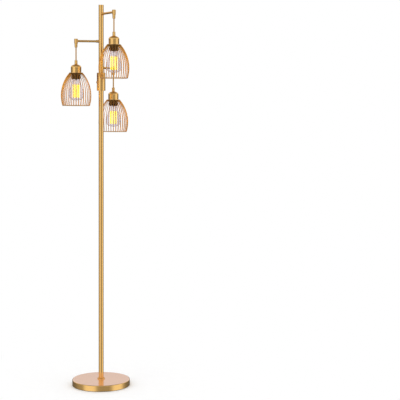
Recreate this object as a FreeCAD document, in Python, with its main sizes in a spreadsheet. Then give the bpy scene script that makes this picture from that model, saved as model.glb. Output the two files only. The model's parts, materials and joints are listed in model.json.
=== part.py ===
"""Wire cage floor lamp.

A weighted round base carries a straight pole. A switch housing sits on the pole, and above it a
column holds three short arms at three heights, 120 degrees apart. A short cord hangs from the end
of each arm and carries a socket, a clear filament bulb and an open cage of bent wires.

Millimetres, +Z up. The origin is on the pole's axis at the floor.
"""

import FreeCAD, Part
import math
import os

import Sketcher

# Driving sizes, in millimetres and degrees.
SIZES = {
    # base
    "base_diameter": 254,
    "base_height": 27,
    "base_edge_radius": 3,
    "cover_wall": 1.5,
    "cover_lift": 2,
    "cover_hole_clearance": 0.3,
    "pad_thickness": 1.5,
    "pad_inset": 5,
    "weight_clearance": 0.3,
    "weight_web": 4.5,
    "recess_diameter": 44,
    "channel_width": 10,
    "channel_height": 12,
    "washer_diameter": 34,
    "washer_thickness": 1.5,
    "nut_across_flats": 17,
    "nut_height": 5,
    "base_tube_diameter": 10,
    "base_tube_bore": 7.6,
    "base_tube_length": 46,
    "base_tube_overhang": 0.5,
    "bushing_diameter": 8.4,
    "bushing_length": 9,
    "bushing_flange_diameter": 12,
    "bushing_flange_thickness": 2,
    # pole
    "pole_diameter": 21.6,
    "pole_wall": 1.2,
    "coupler_length": 50,
    "foot_plug_length": 25,
    "foot_collar_diameter": 33,
    "foot_collar_height": 4.5,
    "foot_collar_edge": 2,
    "column_crown": 38.8,
    "top_plug_thickness": 1.6,
    "top_plug_depth": 8,
    # switch housing
    "housing_foot": 1297,
    "housing_height": 76.8,
    "housing_diameter": 37,
    "housing_wall": 1.5,
    "end_plate_thickness": 3,
    "spigot_length": 12,
    "button_rise": 36.5,
    "button_diameter": 9.3,
    "button_standout": 2.9,
    "button_dome": 1.6,
    "button_travel": 2,
    "button_flange_diameter": 11.6,
    "button_flange_thickness": 1.2,
    "flange_gap": 0.2,
    "button_stop_gap": 0.4,
    "plunger_diameter": 3,
    "plunger_length": 5.2,
    "plunger_gap": 0.3,
    "running_clearance": 0.08,
    "switch_lead_gap": 0.98,
    "switch_width": 13,
    "switch_height": 20,
    "bracket_thickness": 1.2,
    "bracket_width": 12,
    "splice_cap_diameter": 7.2,
    "splice_cap_tip_diameter": 5,
    "splice_cap_height": 14,
    "splice_cap_clearance": 1.4,
    "splice_cap_spread": 52,
    # arms
    "arm_reach": 108,
    "lower_arm_rise": 22.8,
    "middle_arm_rise": 112.6,
    "upper_arm_rise": 117,
    "lower_azimuth": 60,
    "middle_azimuth": 180,
    "upper_azimuth": -60,
    "arm_tube_diameter": 9.5,
    "arm_tube_wall": 1.3,
    "arm_tube_inset": 0.4,
    "arm_hole_clearance": 0.15,
    "arm_collar_diameter": 12.4,
    "arm_collar_tip_diameter": 11.6,
    "arm_collar_length": 11.7,
    "arm_collar_edge": 0.8,
    "fitting_diameter": 15.6,
    "fitting_height": 19.4,
    "fitting_edge": 0.8,
    "fitting_bore": 7.2,
    "fitting_cap": 4.8,
    "fitting_grip_depth": 4,
    "clamp_diameter": 13.2,
    "clamp_tip_diameter": 12,
    "clamp_length": 17.4,
    "clamp_edge": 0.6,
    "clamp_spigot_diameter": 9.5,
    "clamp_spigot_length": 4.3,
    # leads inside the lamp
    "pole_lead_diameter": 5,
    "pole_lead_bend": 7,
    "pole_lead_entry": 2.1,
    "pole_lead_rise": 7,
    "arm_lead_diameter": 3.6,
    "arm_lead_spacing": 0.22,
    "arm_lead_clearance": 0.4,
    "arm_lead_bend": 7,
    "arm_lead_end_bend": 5,
    "arm_lead_start_gap": 5.5,
    "arm_lead_gap": 0.9,
    # cords
    "cord_diameter": 5.5,
    "cord_showing": 55.6,
    "cord_seat": 2.5,
    "cord_clearance": 0.3,
    "swing_angle": 20,
    "sway_angle": 12,
    "grip_diameter": 12.4,
    "grip_length": 17,
    "grip_edge": 0.8,
    "grip_neck_diameter": 9,
    "grip_neck_length": 5,
    "grip_wire_hole": 3.6,
    # socket
    "cup_diameter": 45,
    "cup_height": 36,
    "cup_wall": 1.2,
    "cup_shoulder_radius": 10,
    "cup_cone_angle": 25,
    "cup_flat": 0.5,
    "socket_drop": 9.5,
    "socket_cup_clearance": 0.4,
    "socket_chamfer": 5.5,
    "socket_thread_diameter": 40.2,
    "socket_thread_length": 11,
    "socket_mouth_diameter": 38.4,
    "socket_skirt_length": 27.5,
    "socket_ceiling": 4.5,
    "socket_mouth_wall": 1.2,
    "shell_clearance": 0.25,
    "shell_wall": 0.5,
    "shell_drop": 5.5,
    "contact_diameter": 8,
    "contact_thickness": 1,
    "ring_nut_inset": 3.7,
    "ring_nut_height": 5,
    "ring_nut_edge": 1,
    # cage
    "plate_diameter": 59.4,
    "plate_thickness": 1.6,
    "plate_hole_clearance": 0.2,
    "wire_diameter": 2.25,
    "wire_count": 36,
    "wire_gap": 0.1,
    "cage_neck_overhang": 0.3,
    "cage_waist_diameter": 131,
    "cage_waist_drop": 97.4,
    "cage_height": 143,
    "mouth_ring_wire": 2.8,
    # bulb
    "bulb_length": 140,
    "bulb_seat": 0.3,
    "bulb_diameter": 64,
    "bulb_waist_rise": 20.8,
    "bulb_shoulder_radius": 18,
    "bulb_flank_radius": 100,
    "bulb_cone_angle": 17,
    "bulb_neck_diameter": 26.4,
    "glass_wall": 0.8,
    "cap_height": 26.7,
    "cap_tip_diameter": 9,
    "cap_tip_height": 1.5,
    "cap_insulator_height": 2.8,
    "cap_wall": 0.5,
    "stem_flare_gap": 0.1,
    "stem_flare_height": 7,
    "stem_diameter": 7,
    "stem_length": 28,
    "stem_rod_diameter": 3.2,
    "stem_rod_length": 14,
    "stem_wire_diameter": 1.2,
    "filament_count": 8,
    "filament_ring": 28,
    "filament_diameter": 2.8,
    "filament_tip_gap": 12.3,
    "filament_drop": 46,
    "spoke_size": 0.8,
    "filament_turn": 22.5,
    # fits
    "slip": 0.05,
    "drill_overshoot": 1,
}

doc = FreeCAD.newDocument("Lamp")
sheet = doc.addObject("Spreadsheet::Sheet", "sizes")
for row, (word, number) in enumerate(SIZES.items(), 1):
    sheet.set(f"A{row}", word)
    sheet.set(f"B{row}", str(number))
    sheet.setAlias(f"B{row}", word)
doc.recompute()

SUBPARTS = []


# Sizes that keep their value and their expression on the sheet ----------------------------------


class Dim:
    """A size: its value, and the same size as an expression on the sheet."""

    def __init__(self, value, text):
        self.value = float(value)
        self.text = text

    def __add__(self, other):
        other = dim(other)
        return Dim(self.value + other.value, f"({self.text} + {other.text})")

    def __sub__(self, other):
        other = dim(other)
        return Dim(self.value - other.value, f"({self.text} - {other.text})")

    def __mul__(self, other):
        other = dim(other)
        return Dim(self.value * other.value, f"({self.text} * {other.text})")

    def __truediv__(self, other):
        other = dim(other)
        return Dim(self.value / other.value, f"({self.text} / {other.text})")

    def __neg__(self):
        return Dim(-self.value, f"(0 - {self.text})")


def dim(number):
    """A plain number as a Dim."""
    return number if isinstance(number, Dim) else Dim(number, repr(float(number)))


def size(word):
    """The Dim of one cell of the sheet."""
    return Dim(SIZES[word], f"sizes.{word}")


def half(word):
    return size(word) / 2


def sine(angle):
    return Dim(math.sin(math.radians(angle.value)), f"sin({angle.text})")


def cosine(angle):
    return Dim(math.cos(math.radians(angle.value)), f"cos({angle.text})")


def tangent(angle):
    return sine(angle) / cosine(angle)


def arcsine(ratio):
    return Dim(math.degrees(math.asin(ratio.value)), f"asin({ratio.text})")


def root(square):
    return Dim(math.sqrt(square.value), f"sqrt({square.text})")


ZERO = dim(0)


# Sketches and bodies ----------------------------------------------------------------------------


def new_body(label):
    body = doc.addObject("PartDesign::Body", label)
    body.Label = label
    return body


def sketch_on(body, role, lift=ZERO):
    """A sketch on one of the body's own planes, moved along the plane's normal by lift."""
    sketch = body.newObject("Sketcher::SketchObject", f"{body.Name}_outline")
    plane = next(item for item in body.Origin.OriginFeatures if item.Role == role)
    sketch.AttachmentSupport = [(plane, "")]
    sketch.MapMode = "FlatFace"
    sketch.setExpression("AttachmentOffset.Base.z", lift.text)
    return sketch


def pin(sketch, curve, corner, u, v):
    """Hold a corner of a curve at (u, v)."""
    for kind, axis, place in (("DistanceX", -2, u), ("DistanceY", -1, v)):
        if place.value == 0:
            sketch.addConstraint(Sketcher.Constraint("PointOnObject", curve, corner, axis))
        else:
            measure(sketch, Sketcher.Constraint(kind, -1, 1, curve, corner, place.value), place)


def measure(sketch, constraint, value):
    """Add a constraint and bind its value to the sheet."""
    number = sketch.addConstraint(constraint)
    sketch.setExpression(f"Constraints[{number}]", value.text)


def left(u, v, radius):
    """A step of an outline: an arc to (u, v) that turns left."""
    return u, v, radius, 1


def right(u, v, radius):
    """A step of an outline: an arc to (u, v) that turns right."""
    return u, v, radius, -1


def arc_between(start, end, radius, turn):
    """The shorter arc of that radius from start to end, turning left (1) or right (-1)."""
    chord = end - start
    side = FreeCAD.Vector(-chord.y, chord.x, 0).normalize() * turn
    centre = (start + end) / 2 + side * math.sqrt(radius**2 - chord.Length**2 / 4)
    first, last = (start, end) if turn > 0 else (end, start)
    angles = [math.atan2(p.y - centre.y, p.x - centre.x) for p in (first, last)]
    return Part.ArcOfCircle(Part.Circle(centre, FreeCAD.Vector(0, 0, 1), radius), *angles)


def outline(sketch, steps, closed=True):
    """Draw lines and arcs from corner to corner, each corner and radius bound to the sheet."""
    corners = [FreeCAD.Vector(step[0].value, step[1].value, 0) for step in steps]
    drawn = []
    spans = list(zip(steps, corners, steps[1:], corners[1:]))
    if closed:
        spans.append((steps[-1], corners[-1], steps[0][:2], corners[0]))
    for begin, start, step, end in spans:
        if len(step) == 4:
            radius, turn = step[2:]
            curve = sketch.addGeometry(arc_between(start, end, radius.value, turn), False)
            measure(sketch, Sketcher.Constraint("Radius", curve, radius.value), radius)
            ends = (1, 2) if turn > 0 else (2, 1)
        else:
            curve = sketch.addGeometry(Part.LineSegment(start, end), False)
            ends = (1, 2)
        pin(sketch, curve, ends[0], begin[0], begin[1])
        drawn.append((curve, *ends))
    for (curve, _, last), (after, first, _) in zip(drawn, drawn[1:]):
        sketch.addConstraint(Sketcher.Constraint("Coincident", curve, last, after, first))
    curve, _, last = drawn[-1]
    if closed:
        sketch.addConstraint(Sketcher.Constraint("Coincident", curve, last, drawn[0][0], drawn[0][1]))
    else:
        pin(sketch, curve, last, steps[-1][0], steps[-1][1])


def circle(sketch, u, v, radius):
    """A circle in a sketch, bound to the sheet."""
    centre = FreeCAD.Vector(u.value, v.value, 0)
    ring = Part.Circle(centre, FreeCAD.Vector(0, 0, 1), radius.value)
    curve = sketch.addGeometry(ring, False)
    pin(sketch, curve, 3, u, v)
    measure(sketch, Sketcher.Constraint("Radius", curve, radius.value), radius)


def revolve(body, sketch):
    """A full turn of the sketch round the body's Z axis."""
    turn = body.newObject("PartDesign::Revolution", f"{body.Name}_turned")
    turn.Profile = sketch
    turn.ReferenceAxis = (sketch, ["V_Axis"])
    turn.Angle = 360
    return turn


def turned(label, steps):
    """A turned piece: its outline is (radius, height) steps round the Z axis."""
    body = new_body(label)
    sketch = sketch_on(body, "XZ_Plane")
    outline(sketch, steps)
    revolve(body, sketch)
    return body


def sleeve(label, outer, inner, low, high):
    """A turned tube between two heights."""
    return turned(label, [(inner, low), (outer, low), (outer, high), (inner, high)])


def bore_across(body, radius, length=None):
    """Drill along X through the body's origin: both ways, or one way towards -X."""
    before = body.Tip
    sketch = sketch_on(body, "YZ_Plane")
    circle(sketch, ZERO, ZERO, radius)
    cut = body.newObject("PartDesign::Pocket", f"{body.Name}_bore")
    cut.Profile = sketch
    if length is None:
        cut.Type = "ThroughAll"
        cut.SideType = "Symmetric"
    else:
        cut.Type = "Length"
        cut.setExpression("Length", length.text)
    doc.recompute()
    if cut.Shape.Volume >= before.Shape.Volume:
        raise RuntimeError(f"the bore of {body.Label} cuts nothing")
    return body


def polar(body, feature, count):
    """Repeat a feature round the body's Z axis."""
    pattern = body.newObject("PartDesign::PolarPattern", f"{body.Name}_round")
    pattern.Originals = [feature]
    axis = next(item for item in body.Origin.OriginFeatures if item.Role == "Z_Axis")
    pattern.Axis = (axis, [""])
    pattern.Angle = 360
    pattern.setExpression("Occurrences", count.text)
    body.Tip = pattern
    return pattern


def piped(label, role, steps, radius):
    """A round lead along steps on one of the body's planes. It starts straight down."""
    body = new_body(label)
    path = sketch_on(body, role)
    outline(path, steps, closed=False)
    section = sketch_on(body, "XY_Plane", steps[0][1])
    u, v = (ZERO, steps[0][0]) if role == "YZ_Plane" else (steps[0][0], ZERO)
    circle(section, u, v, radius)
    pipe = body.newObject("PartDesign::AdditivePipe", f"{body.Name}_pipe")
    pipe.Profile = section
    pipe.Spine = (path, [])
    return body


def place(piece, x=ZERO, y=ZERO, z=ZERO, azimuth=ZERO, tilt=ZERO):
    """Put a piece at a point, turned about Z by azimuth and first about its own Y by tilt."""
    piece.setExpression(
        "Placement",
        f"placement(vector({x.text}; {y.text}; {z.text}); "
        f"rotation(vector(0; 0; 1); {azimuth.text}) * rotation(vector(0; 1; 0); {tilt.text}))",
    )
    return piece


def box(name, sides, corner):
    """A Part box with its lowest corner at that point."""
    block = doc.addObject("Part::Box", name)
    for word, side in zip(("Length", "Width", "Height"), sides):
        block.setExpression(word, side.text)
    return place(block, *corner)


def rod(name, radius, length):
    """A Part cylinder along its own Z axis."""
    cylinder = doc.addObject("Part::Cylinder", name)
    cylinder.setExpression("Radius", radius.text)
    cylinder.setExpression("Height", length.text)
    return cylinder


def group(label, pieces):
    """Several separate solids under one name."""
    compound = doc.addObject("Part::Compound", label)
    compound.Label = label
    compound.Links = pieces
    return compound


def less(label, piece, tools):
    """A piece with tools cut out of it."""
    for number, tool in enumerate(tools):
        cut = doc.addObject("Part::Cut", f"{label}_cut_{number}")
        cut.Base = piece
        cut.Tool = tool
        piece = cut
    piece.Label = label
    return piece


def joined(label, pieces):
    """Pieces that are one solid."""
    fusion = doc.addObject("Part::MultiFuse", label)
    fusion.Label = label
    fusion.Shapes = pieces
    fusion.Refine = True
    return fusion


def keep(*pieces):
    """Count pieces among the lamp's sub-parts."""
    SUBPARTS.extend(pieces)


# Base -------------------------------------------------------------------------------------------

NUT_SIDES = 6
RIGHT_ANGLE = dim(90)
HALF_TURN = dim(180)

cover_top = size("base_height")
weight_top = cover_top - size("cover_wall") - size("weight_clearance")
recess_top = weight_top - size("weight_web")
nut_top = recess_top - size("washer_thickness")
nut_foot = nut_top - size("nut_height")
base_tube_foot = nut_foot - size("base_tube_overhang")
inner_radius = half("pole_diameter") - size("pole_wall")
spigot_radius = inner_radius - size("slip")
tube_hole = half("base_tube_diameter") + size("slip")
cover_hole = half("base_tube_diameter") + size("cover_hole_clearance")
# the lead turns up into the threaded tube
lead_level = base_tube_foot - size("pole_lead_bend") + size("pole_lead_entry")


def base_cover():
    """The spun cover: open below, with a rounded upper edge and a hole for the supply bushing."""
    outer = half("base_diameter")
    edge = size("base_edge_radius")
    wall = size("cover_wall")
    shell = turned(
        "base_cover_shell",
        [
            (cover_hole, cover_top - wall),
            (outer - edge, cover_top - wall),
            right(outer - wall, cover_top - edge, edge - wall),
            (outer - wall, size("cover_lift")),
            (outer, size("cover_lift")),
            (outer, cover_top - edge),
            left(outer - edge, cover_top, edge),
            (cover_hole, cover_top),
        ],
    )
    length = size("bushing_length") + size("drill_overshoot")
    drill = rod("base_cover_drill", half("bushing_diameter") + size("slip"), length)
    place(
        drill,
        y=outer - size("bushing_length"),
        z=lead_level,
        azimuth=RIGHT_ANGLE,
        tilt=RIGHT_ANGLE,
    )
    return less("base_cover", shell, [drill])


def base_weight():
    """The iron disc: a recess for the nut under its middle and a channel for the lead."""
    outer = half("base_diameter") - size("cover_wall") - size("weight_clearance")
    low = size("pad_thickness")
    bevel = size("base_edge_radius")
    disc = turned(
        "base_weight_disc",
        [
            (half("recess_diameter"), low),
            (outer, low),
            (outer, weight_top - bevel),
            (outer - bevel, weight_top),
            (cover_hole, weight_top),
            (cover_hole, recess_top),
            (half("recess_diameter"), recess_top),
        ],
    )
    channel = box(
        "base_weight_channel",
        (size("channel_width"), half("base_diameter"), size("channel_height")),
        (-half("channel_width"), ZERO, low),
    )
    return less("base_weight", disc, [channel])


def base_floor_pad():
    """A flat pad that the whole lamp stands on."""
    outer = half("base_diameter") - size("pad_inset")
    low, high = ZERO, size("pad_thickness")
    return turned("base_floor_pad", [(ZERO, low), (outer, low), (outer, high), (ZERO, high)])


def base_lock_nut():
    """Hexagon nut and washer under the weight."""
    overshoot = size("drill_overshoot")
    bore = rod("base_nut_bore", tube_hole, size("nut_height") + overshoot * 2)
    place(bore, z=nut_foot - overshoot)
    hexagon = doc.addObject("Part::Prism", "base_nut_hexagon")
    hexagon.Polygon = NUT_SIDES
    corner_radius = half("nut_across_flats") / cosine(dim(180 / NUT_SIDES))
    hexagon.setExpression("Circumradius", corner_radius.text)
    hexagon.setExpression("Height", size("nut_height").text)
    place(hexagon, z=nut_foot)
    nut = less("base_nut", hexagon, [bore])
    washer = sleeve("base_washer", half("washer_diameter"), tube_hole, nut_top, recess_top)
    return group("base_lock_nut", [nut, washer])


def base_threaded_tube():
    """The tube that pulls the pole down on the base, with the lead inside it."""
    high = base_tube_foot + size("base_tube_length")
    return sleeve(
        "base_threaded_tube", half("base_tube_diameter"), half("base_tube_bore"), base_tube_foot, high
    )


def base_cord_bushing():
    """The bushing at the rear, round the lead: a neck through the cover and a flange outside."""
    bore = half("pole_lead_diameter") + size("slip")
    neck = half("bushing_diameter")
    flange = half("bushing_flange_diameter")
    face = half("base_diameter") + size("slip")
    out = face + size("bushing_flange_thickness")
    inner = face - size("bushing_length")
    piece = turned(
        "base_cord_bushing",
        [(bore, inner), (neck, inner), (neck, face), (flange, face), (flange, out), (bore, out)],
    )
    return place(piece, z=lead_level, azimuth=RIGHT_ANGLE, tilt=RIGHT_ANGLE)


keep(base_cover(), base_weight(), base_floor_pad(), base_lock_nut(), base_threaded_tube())
keep(base_cord_bushing())


# Pole -------------------------------------------------------------------------------------------

POLE_SECTIONS = ("lower", "middle", "upper")
section_length = (size("housing_foot") - cover_top) / len(POLE_SECTIONS)
housing_top = size("housing_foot") + size("housing_height")
lower_arm_height = housing_top + size("lower_arm_rise")
middle_arm_height = lower_arm_height + size("middle_arm_rise")
upper_arm_height = middle_arm_height + size("upper_arm_rise")
column_top = upper_arm_height + size("column_crown")
column_end = column_top - size("top_plug_thickness")

ARMS = [
    ("upper", upper_arm_height, size("upper_azimuth")),
    ("middle", middle_arm_height, size("middle_azimuth")),
    ("lower", lower_arm_height, size("lower_azimuth")),
]

# the arms' leads run up side by side, one third of a turn apart, and the couplers let them through
arm_lead_ring = half("arm_lead_diameter") / sine(HALF_TURN / len(ARMS)) + size("arm_lead_spacing")
coupler_bore = arm_lead_ring + half("arm_lead_diameter") + size("arm_lead_clearance")


def pole_foot_collar():
    """The rounded ring round the foot of the pole."""
    outer = half("foot_collar_diameter")
    edge = size("foot_collar_edge")
    hole = half("pole_diameter") + size("slip")
    high = cover_top + size("foot_collar_height")
    return turned(
        "pole_foot_collar",
        [
            (hole, cover_top),
            (outer, cover_top),
            (outer, high - edge),
            left(outer - edge, high, edge),
            (hole, high),
        ],
    )


def pole_section(number):
    """One of the tubes between the base and the housing, end to end."""
    low = cover_top + section_length * number
    label = f"pole_section_{POLE_SECTIONS[number]}"
    return sleeve(label, half("pole_diameter"), inner_radius, low, low + section_length)


def pole_couplers():
    """The threaded plug in the pole's foot and a sleeve inside each joint of the tubes."""
    plug = sleeve(
        "pole_foot_plug", spigot_radius, tube_hole, cover_top, cover_top + size("foot_plug_length")
    )
    pieces = [plug]
    for number in range(1, len(POLE_SECTIONS)):
        seam = cover_top + section_length * number
        reach = half("coupler_length")
        pieces.append(
            sleeve(
                f"pole_joint_sleeve_{number}",
                spigot_radius,
                coupler_bore,
                seam - reach,
                seam + reach,
            )
        )
    return group("pole_couplers", pieces)


def arm_column():
    """The tube above the housing, with a hole for each arm's tube."""
    tube = sleeve("arm_column_tube", half("pole_diameter"), inner_radius, housing_top, column_end)
    drills = []
    for name, height, azimuth in ARMS:
        radius = half("arm_tube_diameter") + size("arm_hole_clearance")
        drill = rod(f"arm_column_drill_{name}", radius, size("pole_diameter"))
        drills.append(place(drill, z=height, azimuth=azimuth, tilt=RIGHT_ANGLE))
    return less("arm_column", tube, drills)


def pole_top_plug():
    """The flat plug in the column's top."""
    outer = half("pole_diameter")
    depth = column_end - size("top_plug_depth")
    return turned(
        "pole_top_plug",
        [
            (ZERO, depth),
            (spigot_radius, depth),
            (spigot_radius, column_end),
            (outer, column_end),
            (outer, column_top),
            (ZERO, column_top),
        ],
    )


keep(pole_foot_collar())
keep(*[pole_section(number) for number in range(len(POLE_SECTIONS))])
keep(pole_couplers(), arm_column(), pole_top_plug())


# Switch housing ---------------------------------------------------------------------------------

housing_inner = half("housing_diameter") - size("housing_wall")
plate_face = size("housing_foot") + size("end_plate_thickness")
button_height = size("housing_foot") + size("button_rise")
# the button's flange stands behind the housing's curved wall
flange_radius = half("button_flange_diameter")
wall_chord = root(housing_inner * housing_inner - flange_radius * flange_radius)
flange_front = wall_chord - size("flange_gap")
flange_back = flange_front - size("button_flange_thickness")
switch_front = flange_back - size("button_travel") - size("button_stop_gap")
switch_back = half("pole_lead_diameter") + size("switch_lead_gap") + size("bracket_thickness")
switch_depth = switch_front - switch_back
switch_top = button_height + half("switch_height")
plunger_end = flange_back - size("plunger_length")


def switch_housing():
    """The wide tube on the pole, with a hole on its left for the button."""
    tube = sleeve(
        "switch_housing_tube",
        half("housing_diameter"),
        housing_inner,
        size("housing_foot"),
        housing_top,
    )
    radius = half("button_diameter") + size("running_clearance")
    drill = rod("switch_housing_drill", radius, size("housing_diameter"))
    place(drill, z=button_height, azimuth=HALF_TURN, tilt=RIGHT_ANGLE)
    return less("switch_housing", tube, [drill])


def housing_end_plates():
    """A plate in each end of the housing, with a spigot into the tube beyond it."""
    plates = []
    disc = housing_inner - size("slip")
    for name, end, way in (("lower", size("housing_foot"), 1), ("upper", housing_top, -1)):
        inside = end + size("end_plate_thickness") * way
        outside = end - size("spigot_length") * way
        plates.append(
            turned(
                f"housing_end_plate_{name}",
                [
                    (coupler_bore, inside),
                    (disc, inside),
                    (disc, end),
                    (spigot_radius, end),
                    (spigot_radius, outside),
                    (coupler_bore, outside),
                ],
            )
        )
    return group("housing_end_plates", plates)


def switch_button():
    """The domed button, its flange inside the wall and its plunger, along the -X direction."""
    neck = half("button_diameter")
    pin_radius = half("plunger_diameter")
    tip = half("housing_diameter") + size("button_standout")
    brim = tip - size("button_dome")
    dome = (neck * neck + size("button_dome") * size("button_dome")) / (size("button_dome") * 2)
    piece = turned(
        "switch_button",
        [
            (ZERO, plunger_end),
            (pin_radius, plunger_end),
            (pin_radius, flange_back),
            (flange_radius, flange_back),
            (flange_radius, flange_front),
            (neck, flange_front),
            (neck, brim),
            left(ZERO, tip, dome),
        ],
    )
    return place(piece, z=button_height, azimuth=HALF_TURN, tilt=RIGHT_ANGLE)


def switch_body():
    """The push switch: a block with a bore that the plunger slides in."""
    block = box(
        "switch_block",
        (switch_depth, size("switch_width"), size("switch_height")),
        (-switch_front, -half("switch_width"), switch_top - size("switch_height")),
    )
    depth = switch_front - plunger_end + size("button_travel") + size("plunger_gap")
    length = depth + size("drill_overshoot")
    bore = rod("switch_bore", half("plunger_diameter") + size("running_clearance"), length)
    place(bore, x=depth - switch_front, z=button_height, azimuth=HALF_TURN, tilt=RIGHT_ANGLE)
    return less("switch_body", block, [bore])


def switch_bracket():
    """The bent strip that stands on the lower end plate and holds the switch."""
    width = size("bracket_width")
    thick = size("bracket_thickness")
    upright = box(
        "switch_bracket_upright",
        (thick, width, switch_top - plate_face),
        (-switch_back, -width / 2, plate_face),
    )
    foot = box(
        "switch_bracket_foot",
        (switch_depth + thick, width, thick),
        (-switch_front, -width / 2, plate_face),
    )
    return joined("switch_bracket", [upright, foot])


def wire_splice_caps():
    """Caps on the joined wires, standing on the lower end plate."""
    caps = []
    ring = housing_inner - half("splice_cap_diameter") - size("splice_cap_clearance")
    for number in (-1, 0, 1):
        cap = turned(
            f"wire_splice_cap_{number + 2}",
            [
                (ZERO, ZERO),
                (half("splice_cap_diameter"), ZERO),
                (half("splice_cap_tip_diameter"), size("splice_cap_height")),
                (ZERO, size("splice_cap_height")),
            ],
        )
        angle = size("splice_cap_spread") * number
        caps.append(place(cap, ring * cosine(angle), ring * sine(angle), plate_face))
    return group("wire_splice_caps", caps)


keep(switch_housing(), housing_end_plates(), switch_button(), switch_body(), switch_bracket())
keep(wire_splice_caps())


# Arms -------------------------------------------------------------------------------------------

fitting_foot = -half("fitting_height")
clamp_foot = fitting_foot - size("clamp_length")
cord_radius = half("cord_diameter")
cord_bore = cord_radius + size("cord_clearance")
cord_pivot = clamp_foot + size("cord_seat")
grip_top = clamp_foot - size("cord_showing")
grip_pivot = grip_top - size("cord_seat")
grip_foot = grip_top - size("grip_length")
tube_inner_end = inner_radius - size("arm_tube_inset")
tube_outer_end = size("arm_reach") - half("fitting_diameter") + size("fitting_grip_depth")


def mouth(angle):
    """The radius of a flared mouth that lets the cord lean by an angle."""
    lean = cord_radius + size("cord_seat") * sine(angle)
    return lean / cosine(angle) + size("cord_clearance")


def at_arm_end(piece, height, azimuth):
    reach = size("arm_reach")
    return place(piece, reach * cosine(azimuth), reach * sine(azimuth), height, azimuth)


def arm_collar(name):
    """The collar at the column, with a saddle that fits the column's round side."""
    bore = half("arm_tube_diameter") + size("slip")
    wide = half("arm_collar_diameter")
    tip = half("arm_collar_tip_diameter")
    edge = size("arm_collar_edge")
    end = half("pole_diameter") + size("arm_collar_length")
    # the turned piece starts inside the column, and the saddle's bore then cuts that end off
    start = half("pole_diameter") - half("arm_collar_diameter")
    piece = turned(
        f"arm_collar_{name}",
        [
            (bore, start),
            (wide, start),
            (tip, end - edge),
            left(tip - edge, end, edge),
            (bore, end),
        ],
    )
    return bore_across(piece, half("pole_diameter") + size("slip"))


def arm_tube(name):
    """The arm's tube, from inside the column to inside the end fitting."""
    outer = half("arm_tube_diameter")
    return sleeve(
        f"arm_tube_{name}", outer, outer - size("arm_tube_wall"), tube_inner_end, tube_outer_end
    )


def arm_end_fitting(name):
    """The upright fitting: blind above, bored for the lead, the tube and the clamp's spigot."""
    outer = half("fitting_diameter")
    edge = size("fitting_edge")
    top = half("fitting_height")
    bore = half("fitting_bore")
    seat = half("clamp_spigot_diameter") + size("slip")
    seat_top = fitting_foot + size("clamp_spigot_length") + size("slip")
    ceiling = top - size("fitting_cap")
    piece = turned(
        f"arm_end_fitting_{name}",
        [
            (seat, fitting_foot),
            (outer - edge, fitting_foot),
            left(outer, fitting_foot + edge, edge),
            (outer, top - edge),
            left(outer - edge, top, edge),
            (ZERO, top),
            (ZERO, ceiling),
            (bore, ceiling),
            (bore, seat_top),
            (seat, seat_top),
        ],
    )
    return bore_across(piece, half("arm_tube_diameter") + size("slip"), size("fitting_diameter"))


def arm_cord_clamp(name):
    """The tapered clamp under the fitting, flared at its mouth so that the cord can lean."""
    spigot = half("clamp_spigot_diameter")
    tip = half("clamp_tip_diameter")
    edge = size("clamp_edge")
    top = fitting_foot + size("clamp_spigot_length")
    return turned(
        f"arm_cord_clamp_{name}",
        [
            (cord_bore, top),
            (cord_bore, cord_pivot),
            (mouth(size("swing_angle")), clamp_foot),
            (tip - edge, clamp_foot),
            left(tip, clamp_foot + edge, edge),
            (half("clamp_diameter"), fitting_foot),
            (spigot, fitting_foot),
            (spigot, top),
        ],
    )


def arm_pieces(label, make, radial):
    """One piece for each arm: along the arm from the column's axis, or upright at its end."""
    pieces = []
    for name, height, azimuth in ARMS:
        piece = make(name)
        if radial:
            pieces.append(place(piece, z=height, azimuth=azimuth, tilt=RIGHT_ANGLE))
        else:
            pieces.append(at_arm_end(piece, height, azimuth))
    return group(label, pieces)


keep(
    arm_pieces("arm_collars", arm_collar, True),
    arm_pieces("arm_tubes", arm_tube, True),
    arm_pieces("arm_end_fittings", arm_end_fitting, False),
    arm_pieces("arm_cord_clamps", arm_cord_clamp, False),
)


# Leads inside the lamp --------------------------------------------------------------------------


def pole_lead():
    """From the rear bushing along the base's channel and up the pole to the switch."""
    bend = size("pole_lead_bend")
    top = plate_face + size("pole_lead_rise")
    outlet = half("base_diameter") + size("slip") + size("bushing_flange_thickness")
    steps = [(ZERO, top), (ZERO, lead_level + bend), left(bend, lead_level, bend), (outlet, lead_level)]
    return piped("pole_lead", "YZ_Plane", steps, half("pole_lead_diameter"))


def arm_lead(name, height, azimuth):
    """From the housing up the column, along the arm and down to the cord's end."""
    ring = arm_lead_ring
    bend = size("arm_lead_bend")
    end_bend = size("arm_lead_end_bend")
    reach = size("arm_reach")
    start = switch_top + size("arm_lead_start_gap")
    stop = height + cord_pivot + cord_radius + size("arm_lead_gap")
    steps = [
        (ring, start),
        (ring, height - bend),
        right(ring + bend, height, bend),
        (reach - end_bend, height),
        right(reach, height - end_bend, end_bend),
        (reach, stop),
    ]
    lead = piped(f"arm_lead_{name}", "XZ_Plane", steps, half("arm_lead_diameter"))
    return place(lead, azimuth=azimuth)


keep(pole_lead(), group("arm_leads", [arm_lead(*arm) for arm in ARMS]))


# Pendants ---------------------------------------------------------------------------------------
# Heights here are measured from the arm's axis, downwards negative.

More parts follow.
